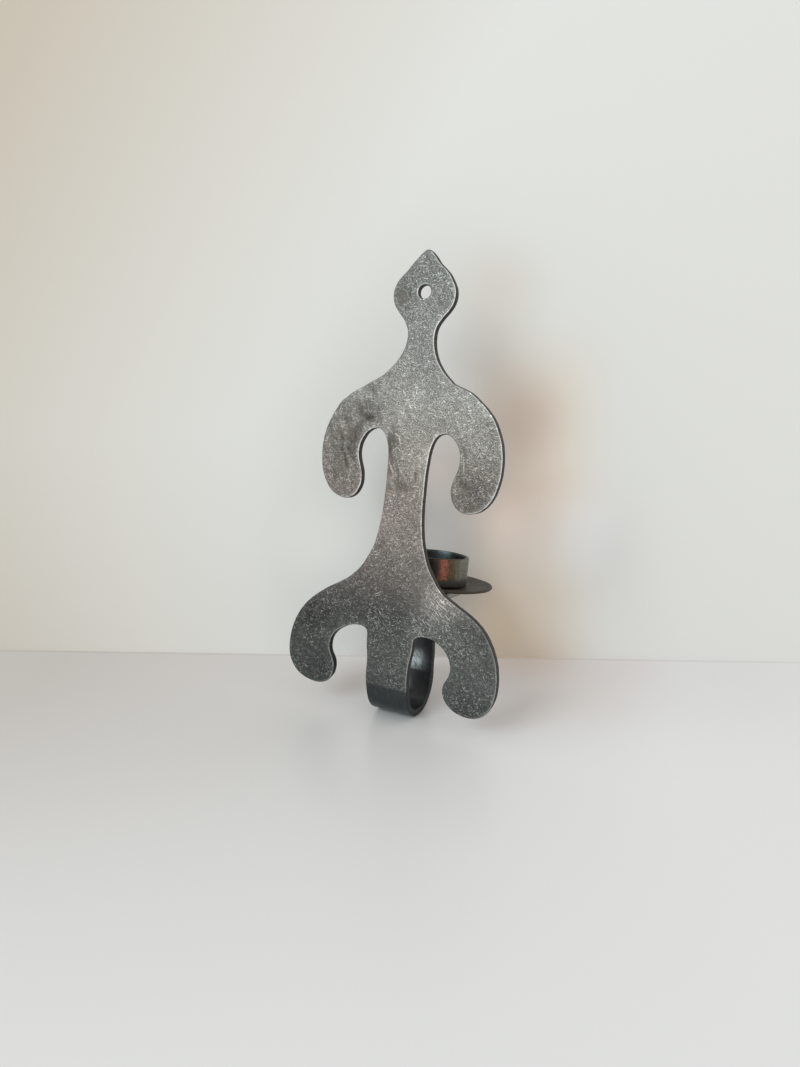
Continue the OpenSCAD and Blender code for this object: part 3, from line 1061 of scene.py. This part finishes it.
def plate_fields(s):
    """What the mesh stores, and the noises that the plate's layers share."""
    p = SimpleNamespace(flat=s.attribute("flat", "Vector"))
    for name in ("edge", "flank", "face", "hollow", "fold", "shade", "stain", "smear", "scrub"):
        setattr(p, name, s.attribute(name))
    p.x, p.z, _ = s.split(p.flat)
    p.patch = s.noise(p.flat, 0.16, 4.0, 0.6, 0.5)
    p.mottle = s.noise(p.flat, 0.6, 5.0, 0.65, 0.8)
    p.grain = s.noise(p.flat, 2.9, 2.0, 0.6)
    p.cloud = s.noise(p.flat, 0.045, 2.0) * 0.5 + p.patch * 0.5
    p.broken = (p.mottle - 0.5) * 1.6
    p.upper = s.window(p.z, *UPPER_PLATE)
    p.inner = s.window(p.face, 0.6, 1.0)
    p.arm = s.window(p.z, *ARM_COLOURED)
    return p


def mean_tone(s, p):
    """The tone between the brush marks, partly painted shade and glints: cloudy and smeared, with dark
    pits.
    """
    low = PLATE_TONES[0][0]
    high = PLATE_TONES[-1][0]
    share = s.add("MapRange", {"Value": p.z, "From Min": low, "From Max": high})
    tone = s.ramp(share, [((height - low) / (high - low), colour) for height, colour in PLATE_TONES])
    tone = s.tint(tone, s.window(p.cloud, 0.34, 0.66, 0.87, 1.09))
    # Painted shade and glints from the plate's shade spots
    tone = s.tint(tone, p.shade)
    tone = s.tint(tone, s.window(p.mottle, 0.36, 0.62, 1.08, 0.88))
    streaks = s.noise(s.turn(p.flat, SMEAR_TURN, (0.13, 0.50, 1.0)), 1.0, 3.0, 0.6, 0.6)
    tone = s.tint(tone, s.window(streaks, 0.36, 0.64, 0.58, 1.45), p.smear)
    return s.tint(tone, s.window(p.grain, 0.37, 0.63, 0.52, 1.42), s.blend(p.upper, 0.45, 1.0))


def scale_share(s, p):
    """How much smooth brown scale the dents and stains hold."""
    ragged = s.window(p.hollow - p.fold * 0.8 + p.broken, 0.25, 0.95)
    wandering = p.broken * 0.25 + (p.patch - 0.5) * 1.8
    stained = s.window(p.stain + wandering, 0.22, 0.70) * s.window(p.stain, 0.03, 0.25)
    return s.most(ragged * 0.50, stained * 0.72)


def lips_and_creases(s, p):
    """The wall side's bright lips and dark creases, bent by noise."""
    waver = s.noise(p.flat, 0.7, 3.0, 0.5, output="Color")
    waver = s.vector("MULTIPLY", s.vector("SUBTRACT", waver, (0.5, 0.5, 0.5)), (1.3, 1.3, 0.0))
    bent = s.vector("ADD", p.flat, waver)
    outer = 1.0 - p.face
    lips = strokes(s, bent, LIPS) * outer * s.window(p.grain, 0.36, 0.50, 0.45, 1.0)
    creases = strokes(s, bent, CREASES) * outer * s.window(p.mottle, 0.34, 0.56, 1.0, 0.45)
    return lips, creases


def brushed_iron(s, p, scale, worn, lips, creases):
    """The brushed plate with its scale, brush marks, creases, lips and bright rim, the rim partly a
    painted highlight.
    """
    tone = s.mix(scale, mean_tone(s, p), s.mix(s.window(p.patch, 0.35, 0.65), *BROWN_SCALE))
    crest = s.window(p.fold + p.broken * 0.4, 0.35, 0.85)
    tone = s.mix(crest * 0.28, tone, CREST)
    bright = s.mix(s.blend(p.upper, 0.50, 0.42), s.tint(tone, BRUSH_GAIN), BRUSHED_BRIGHT)
    metal = s.mix(worn * 0.95, tone, bright)
    metal = s.mix(creases * 0.92, metal, CREASE)
    metal = s.mix(lips * 0.9, metal, LIP)
    # The bright rim line: partly wear, partly a painted highlight
    rim = p.edge * s.window(p.mottle, 0.38, 0.54, 0.35, 1.0) * s.blend(p.upper, 0.70, 1.0)
    rim_bright = s.mix(s.blend(p.upper, 0.45, 0.75), s.tint(tone, RIM_GAIN), RIM_BRIGHT)
    metal = s.mix(rim * 0.95, metal, rim_bright)
    return s.tint(metal, CANDLE_SIDE, p.inner)


def brushed_share(s, p):
    """1 where the plate is brushed, 0 where fire scale covers it."""
    outer = s.window(p.z - (p.mottle * BRUSH_RAG + BRUSH_END), -0.5, 0.6)
    inner = s.window(p.z, *INNER_BRUSHED)
    on_lobe = s.math("GREATER_THAN", abs(p.x), TONGUE_HALF)
    return s.most(s.blend(p.face, outer, inner), on_lobe)


def painted_leg_reflection(s, p):
    """1 where the leg's inner face carries its painted reflection."""
    lower = s.window(p.z, REFLECTION_FOOT, REFLECTION_FOOT - 0.9)
    lower = lower * s.window(p.z, REFLECTION_FOOT, REFLECTION_CREST, 0.36, 0.95)
    upper = s.window(p.z, REFLECTION_TOP, REFLECTION_CREST)
    across = s.window(abs(p.x - REFLECTION_MIDDLE), REFLECTION_REACH, 0.0)
    streaks = s.noise(s.turn(p.flat, REFLECTION_TURN, (0.35, 1.6, 1.0)), 1.0, 3.0, 0.6)
    return lower * upper * across * s.window(streaks, 0.38, 0.58, 0.35, 1.0)


def fire_scale(s, p, leg_reflection):
    """Smooth scale: blue-black outside, the arm's underside painted pale as if lit from below, paler
    inside with the leg's painted reflection.
    """
    speckle = s.window(p.patch * 0.5 + p.mottle * 0.5, 0.4, 0.62)
    # The arm's underside painted pale as if lit from below
    outer = s.mix(p.arm * 0.9, s.mix(speckle, *FIRE_SCALE), ARM_UNDERSIDE_PAINTED_LIGHT)
    # The leg's painted reflection over the inner scale
    inner = s.mix(leg_reflection, s.mix(speckle, *INNER_SCALE), LEG_PAINTED_REFLECTION)
    return s.mix(p.inner, outer, inner)


def side_colour(s, p):
    """The dark sides of the metal, with the arm's sides painted pale as if lit from below."""
    speckle = s.window(p.mottle, 0.35, 0.7)
    on_curl = s.window(p.z, *CURL_SIDE_Z)
    side = s.mix(on_curl, s.mix(speckle, *PLATE_SIDE), s.mix(speckle, *CURL_SIDE))
    return s.mix(p.arm * s.window(abs(p.x), 8.2, 8.8), side, ARM_SIDE_PAINTED_LIGHT)


def plate_relief(s, p, brushed, lines, lips):
    """Height of the fine relief, with scratches cut in and lips raised."""
    relief = p.mottle * 0.9 + p.grain * 0.35 - lines * 0.15
    relief = relief * (brushed * 0.75 + 0.25) * s.blend(p.upper, 0.22, 0.65)
    return relief + lips * 0.9


def plate_roughness(s, p, brushed, worn, leg_reflection):
    """Dull where brushed, smoother on the scale, smoothest under the leg's painted reflection."""
    dull = s.window(p.mottle, 0.3, 0.7, 0.42, 0.56) - worn * 0.10
    smooth = s.blend(p.inner, 0.34, s.window(p.patch, 0.3, 0.7, 0.32, 0.42))
    smooth = s.blend(leg_reflection, smooth, 0.17)
    return s.blend(p.flank, s.blend(brushed, smooth, dull), 0.5)


def plate_material():
    """Hammered iron: brushed grey plate with painted shade and highlights, fire scale on the curl with a
    painted reflection on the leg, dark sides.
    """
    s = Shader("wire-brushed forged iron")
    p = plate_fields(s)
    scale = scale_share(s, p)
    lips, creases = lips_and_creases(s, p)
    worn, lines = brush_marks(s, p)
    worn = worn * s.window(p.cloud, 0.38, 0.58, 0.86, 1.0) * (1.0 - scale * 0.9)
    worn = worn * s.window(p.smear, 0.0, 1.0, 1.0, 0.7)
    leg_reflection = painted_leg_reflection(s, p)
    brushed = brushed_share(s, p)
    colour = s.mix(brushed, fire_scale(s, p, leg_reflection), brushed_iron(s, p, scale, worn, lips, creases))
    return s.finish(s.surface(
        Base_Color=s.mix(p.flank, colour, side_colour(s, p)),
        Metallic=0.8,
        Roughness=plate_roughness(s, p, brushed, worn, leg_reflection),
        Normal=s.bump(plate_relief(s, p, brushed, lines, lips), 0.8, 0.30)))


def dull_iron(s, colour, mottle, grain, rough, strength=0.5, grain_share=0.3, metallic=0.8, specular=0.5):
    """The finished material, with mottled and grainy relief and roughness between two values."""
    relief = mottle * (1 - grain_share) + grain * grain_share
    return s.finish(s.surface(
        Base_Color=colour,
        Metallic=metallic,
        Roughness=s.window(mottle, 0.3, 0.7, *rough),
        Specular_IOR_Level=specular,
        Normal=s.bump(relief, strength, 0.15)))


PAN_SKIN = ((0.026, 0.021, 0.016), (0.050, 0.041, 0.032))
PAN_SPOT = (0.026, 0.022, 0.018)
PAN_RIM = (0.080, 0.064, 0.050)


def pan_material():
    """Thin iron with an oily brown skin, a little worn at the rim."""
    s = Shader("brown oiled iron sheet")
    place = s.place_mm()
    mottle = s.noise(place, 0.7, 5.0, 0.65)
    grain = s.noise(place, 3.0, 4.0, 0.7)
    patch = s.noise(place, 0.12, 4.0, 0.6, 0.5)
    colour = s.mix(s.window(patch, 0.35, 0.65), *PAN_SKIN)
    colour = s.mix(s.window(mottle, 0.5, 0.75, 0.0, 0.5), colour, PAN_SPOT)
    rim = s.window(s.attribute("radius"), pan_high[0] - 1.1, pan_high[0] - 0.3)
    colour = s.mix(rim * 0.6, colour, PAN_RIM)
    return dull_iron(s, colour, mottle, grain, (0.52, 0.66), 0.45, metallic=0.5, specular=0.2)


# Bands of colour round the cup, the pale one a painted highlight: share of a turn, colour
DARK = (0.050, 0.045, 0.037)
RUST = (0.165, 0.072, 0.050)
COPPER = (0.320, 0.125, 0.086)
DULL_OLIVE = (0.105, 0.080, 0.048)
OLIVE = (0.136, 0.122, 0.082)
PAINTED_PALE_HIGHLIGHT = (0.168, 0.168, 0.142)
GREY = (0.100, 0.098, 0.080)
CUP_BANDS = [
    (0.0, GREY), (0.10, OLIVE), (0.18, DARK), (0.322, DARK), (0.342, RUST), (0.354, COPPER),
    (0.368, COPPER), (0.385, DULL_OLIVE), (0.425, OLIVE), (0.440, PAINTED_PALE_HIGHLIGHT), (0.462, PAINTED_PALE_HIGHLIGHT), (0.490, OLIVE),
    (0.53, GREY), (0.62, OLIVE), (0.72, DARK), (0.84, COPPER), (0.92, OLIVE), (1.0, GREY)]
CUP_FOOT = (0.078, 0.078, 0.074)
CUP_RIM = (0.046, 0.040, 0.034)
CUP_BORE = ((0.034, 0.040, 0.040), (0.056, 0.062, 0.060))
CUP_BORE_HIGHLIGHT = (0.15, 0.19, 0.20)
# A painted highlight on the inside of the cup: its place and reach, in shares of a turn
BORE_HIGHLIGHT_TURN = 0.762
BORE_HIGHLIGHT_REACH = 0.070


def cup_material():
    """Iron with bands of colour round the cup, the pale one a painted highlight, a darker rim and foot,
    and a bore with a painted highlight.
    """
    s = Shader("banded iron cup with painted highlights")
    place = s.attribute("around", "Vector")
    x, y, z = s.split(place)
    foot = cup_low[2]
    top = cup_high[2]
    streaks = s.noise(s.turn(place, scale=(1.0, 1.0, 0.35)), 0.45, 4.0, 0.6, 0.3)
    mottle = s.noise(place, 0.9, 5.0, 0.7)
    grain = s.noise(place, 3.2, 4.0, 0.7)
    waver = (streaks - 0.5) * 0.45 + (mottle - 0.5) * 0.35
    around = s.math("ARCTAN2", y, x) + waver
    turn = s.math("FRACT", s.math("DIVIDE", around, 2 * math.pi) + 1.0)
    colour = s.tint(s.ramp(turn, CUP_BANDS), s.window(mottle, 0.34, 0.66, 1.18, 0.70))
    foot_line = z + (mottle - 0.5) * 1.2
    colour = s.mix(s.window(foot_line, foot + 4.2, foot + 2.6), colour, CUP_FOOT)
    colour = s.mix(s.window(z, top - 0.6, top - 0.1) * 0.8, colour, CUP_RIM)
    # A painted highlight on the cup's bore
    bore_highlight = s.window(abs(turn - BORE_HIGHLIGHT_TURN), BORE_HIGHLIGHT_REACH, 0.0) * s.window(z, top - 5.0, top - 1.5)
    inside_colour = s.mix(bore_highlight, s.mix(s.window(mottle, 0.4, 0.6), *CUP_BORE), CUP_BORE_HIGHLIGHT)
    bore = s.window(s.attribute("radius"), cup_high[0] - CUP_WALL * 0.5, cup_high[0] - CUP_WALL * 0.8)
    colour = s.mix(bore, colour, inside_colour)
    return dull_iron(s, colour, mottle, grain, (0.34, 0.50), grain_share=0.4)


RIVET_IRON = ((0.040, 0.036, 0.032), (0.120, 0.112, 0.100))


def rivet_material():
    """Dark mottled iron for the spacer and the rivet."""
    s = Shader("dark hammered iron")
    place = s.place_mm()
    mottle = s.noise(place, 0.8, 5.0, 0.65)
    grain = s.noise(place, 3.0, 4.0, 0.7)
    colour = s.mix(s.window(mottle, 0.35, 0.65), *RIVET_IRON)
    return dull_iron(s, colour, mottle, grain, (0.38, 0.55))


# Stage

# In the photo the holder stands on its curl and leans back from the camera, a few millimetres in
# front of a wall. So the table's upright and the wall's direction aren't the plate's.
UPRIGHT = Vector((0.0183, 0.1874, 0.9821)).normalized()
WALL_NORMAL = Vector((-0.4126, 0.8961, -0.1633)).normalized()
ACROSS = UPRIGHT.cross(WALL_NORMAL).normalized()
WALL_PLACE = -41.0 * MM
STAGE_REACH = 2.0

# The wall's white and its warm painted shade, which sets in left of a line that leans right above a height
WALL_WHITE = (0.76, 0.755, 0.735)
WALL_SHADED = (0.565, 0.500, 0.420)
WALL_LINE = 0.075
WALL_LEAN = 0.7
WALL_LEAN_FROM = 0.058
WALL_SHADE_RATE = 5.0
# A warm glow in the holder's shadow: its place across, its half widths, and the heights it sets in
GLOW = (0.770, 0.690, 0.600)
GLOW_PLACE = 0.046
GLOW_HALVES = (0.040, 0.005)
GLOW_HEIGHTS = (-0.005, -0.050)
# The table's white and its painted shade, where that sets in, over what width, and how far out it reaches
TABLE_WHITE = (0.725, 0.742, 0.755)
TABLE_SHADED = (0.485, 0.468, 0.450)
TABLE_LINE = 0.09
TABLE_SHADE_WIDTH = 0.256
TABLE_SHADE_DEPTH = 0.30
# Painted shadows and painted light on the wall, warmer, darker or lighter: across and up in metres, reach,
# share of its colour
WALL_PAINTED_SHADOWS_AND_LIGHT = [
    ((0.030, 0.000), 0.028, (0.94, 0.90, 0.86)), ((0.042, -0.052), 0.026, (0.86, 0.80, 0.79)),
    ((0.051, -0.093), 0.042, (1.17, 1.14, 1.15)), ((0.032, -0.097), 0.020, (1.14, 1.12, 1.14)),
    ((0.062, -0.105), 0.030, (1.05, 1.12, 1.20)), ((0.004, -0.074), 0.022, (1.20, 1.12, 1.12)),
    ((0.030, -0.145), 0.030, (1.18, 1.13, 1.04)), ((-0.036, -0.110), 0.036, (1.12, 1.12, 1.12)),
]
# Painted shadows on the table, the same way: across, and out from the wall
TABLE_PAINTED_SHADOWS = [
    ((0.046, 0.000), 0.036, (0.84, 0.75, 0.66)), ((0.060, 0.030), 0.060, (0.89, 0.84, 0.82)),
    ((0.086, 0.000), 0.040, (0.94, 0.90, 0.90)), ((0.008, 0.015), 0.014, (0.90, 0.90, 0.88)),
    ((0.130, 0.000), 0.100, (0.92, 0.92, 0.92)),
]
# A thin line of painted shade where the table meets the wall: its width in metres, and its share of the
# colour
CORNER_SHADE_WIDTH = 0.0020
CORNER_SHADE_SHARE = (0.90, 0.89, 0.88)


def one_sided(name, paint, roughness, specular):
    """A pale material that shows on its front only, so that a view from behind isn't blocked."""
    s = Shader(name)
    front = s.surface(Base_Color=paint(s), Roughness=roughness, Specular_IOR_Level=specular)
    behind = s.add("NewGeometry", output="Backfacing")
    clear = s.add("BsdfTransparent")
    return s.finish(s.add("MixShader", {0: behind, 1: front, 2: clear}))


def along(s, direction):
    """How far the lit place lies along a direction of the stage, in metres."""
    place = s.add("NewGeometry", output="Position")
    return s.vector("DOT_PRODUCT", place, tuple(direction), "Value")


def patched(s, colour, across, along_it, patches):
    """The colour with soft round patches of painted shadow and light, each a share of it."""
    for (place_across, place_along), reach, share in patches:
        a = across - place_across
        b = along_it - place_along
        away = s.math("SQRT", a * a + b * b)
        colour = s.tint(colour, share, s.window(away, reach, 0.0))
    return colour


def wall_paint(s):
    """A white wall that turns warmer and darker to the photo's left."""
    across = along(s, ACROSS)
    up = along(s, UPRIGHT)
    # Painted warm shade towards the left of the wall
    line = s.most(up + WALL_LEAN_FROM, 0.0) * WALL_LEAN - WALL_LINE
    left = s.math("MULTIPLY", line - across, WALL_SHADE_RATE, clamp=True)
    colour = s.mix(left, WALL_WHITE, WALL_SHADED)
    band = s.window(abs(across - GLOW_PLACE), *GLOW_HALVES)
    colour = s.mix(band * s.window(up, *GLOW_HEIGHTS), colour, GLOW)
    return patched(s, colour, across, up, WALL_PAINTED_SHADOWS_AND_LIGHT)


def table_paint(s):
    """A white table that turns warmer and darker to the photo's left, by the wall."""
    across = along(s, ACROSS)
    depth = along(s, WALL_NORMAL) - WALL_PLACE
    # Painted warm shade near the wall towards the left
    left = s.math("DIVIDE", TABLE_LINE - across, TABLE_SHADE_WIDTH, clamp=True)
    colour = s.mix(left * s.window(depth, TABLE_SHADE_DEPTH, 0.0), TABLE_WHITE, TABLE_SHADED)
    colour = patched(s, colour, across, depth, TABLE_PAINTED_SHADOWS)
    # A thin line of painted shade where the table meets the wall
    return s.tint(colour, CORNER_SHADE_SHARE, s.window(abs(depth), CORNER_SHADE_WIDTH * 1.4, CORNER_SHADE_WIDTH * 0.6))


def add_sheet(name, origin, direction, low, high, facing, material):
    """A sheet across the stage, from low to high along a direction, with its front to facing."""
    places = ((-STAGE_REACH, low), (STAGE_REACH, low), (STAGE_REACH, high), (-STAGE_REACH, high))
    corners = [origin + ACROSS * a + direction * b for a, b in places]
    if (corners[1] - corners[0]).cross(corners[2] - corners[1]).dot(facing) < 0:
        corners.reverse()
    mesh = bpy.data.meshes.new(name)
    mesh.from_pydata([tuple(c) for c in corners], [], [(0, 1, 2, 3)])
    mesh.materials.append(material)
    piece = link(name, mesh)
    return piece


def build_stage(plate):
    """A pale glossy table under the curl and a pale wall close behind the saucer."""
    foot = UPRIGHT * min(v.co.dot(UPRIGHT) for v in plate.data.vertices)
    wall_foot = foot + WALL_NORMAL * (WALL_PLACE - foot.dot(WALL_NORMAL))
    table_white = one_sided("satin white table", table_paint, 0.30, 0.4)
    wall_white = one_sided("matt white wall", wall_paint, 0.9, 0.2)
    add_sheet("table", foot, UPRIGHT.cross(ACROSS), -STAGE_REACH, STAGE_REACH, UPRIGHT, table_white)
    backdrop = add_sheet("backdrop", wall_foot, UPRIGHT, 0, STAGE_REACH, WALL_NORMAL, wall_white)
    backdrop.visible_diffuse = False
    backdrop.visible_glossy = False
    backdrop.visible_shadow = False


LAMP_AIM = Vector((0, -0.02, -0.07))


def build_camera():
    """A camera at the photo's place, on the wall side of the plate and a little above it."""
    place = Vector((-0.1354, 0.2865, -0.0544))
    forward = Vector((0.4249, -0.8988, -0.1085)).normalized()
    right = forward.cross(Vector((0.1368, -0.0547, 0.9891))).normalized()
    focal_px = 850
    picture_h_px = 1067
    data = bpy.data.cameras.new("camera")
    data.sensor_width = 36
    data.lens = data.sensor_width * focal_px / picture_h_px
    camera = link("camera", data)
    axes = Matrix((right, right.cross(forward), -forward)).transposed()
    camera.matrix_world = Matrix.Translation(place) @ axes.to_4x4()
    bpy.context.scene.camera = camera
    return camera


def area_light(name, place, size, power, colour):
    data = bpy.data.lights.new(name, "AREA")
    data.size = size
    data.energy = power
    data.color = colour
    lamp = link(name, data)
    lamp.location = place
    lamp.rotation_euler = (LAMP_AIM - place).to_track_quat("-Z", "Y").to_euler()


def build_lights(camera):
    """A soft window to the photo's upper left, and an even room."""
    right_up_back = Vector((-1.35, 0.9, 1.95))
    window_place = LAMP_AIM + camera.matrix_world.to_3x3() @ right_up_back
    area_light("window", window_place, size=1.1, power=29.0, colour=(0.82, 0.96, 1.0))
    area_light("fill", Vector((-1.6, -1.5, 0.8)), size=1.2, power=4.0, colour=(1.0, 0.97, 0.94))
    world = bpy.data.worlds.new("room")
    bpy.context.scene.world = world
    world.use_nodes = True
    sky = world.node_tree.nodes["Background"]
    sky.inputs["Color"].default_value = (1.0, 0.945, 0.895, 1)
    sky.inputs["Strength"].default_value = 0.80


camera = build_camera()
plate = build_plate()
build_stage(plate)
build_lights(camera)
rivet_iron = rivet_material()
painted = [
    (plate, plate_material()),
    (build_pan(), pan_material()),
    (build_cup(), cup_material()),
    (build_spacer(), rivet_iron),
    (build_rivet(), rivet_iron),
]
for piece, material in painted:
    piece.data.materials.append(material)

bpy.context.scene.view_settings.view_transform = "Standard"
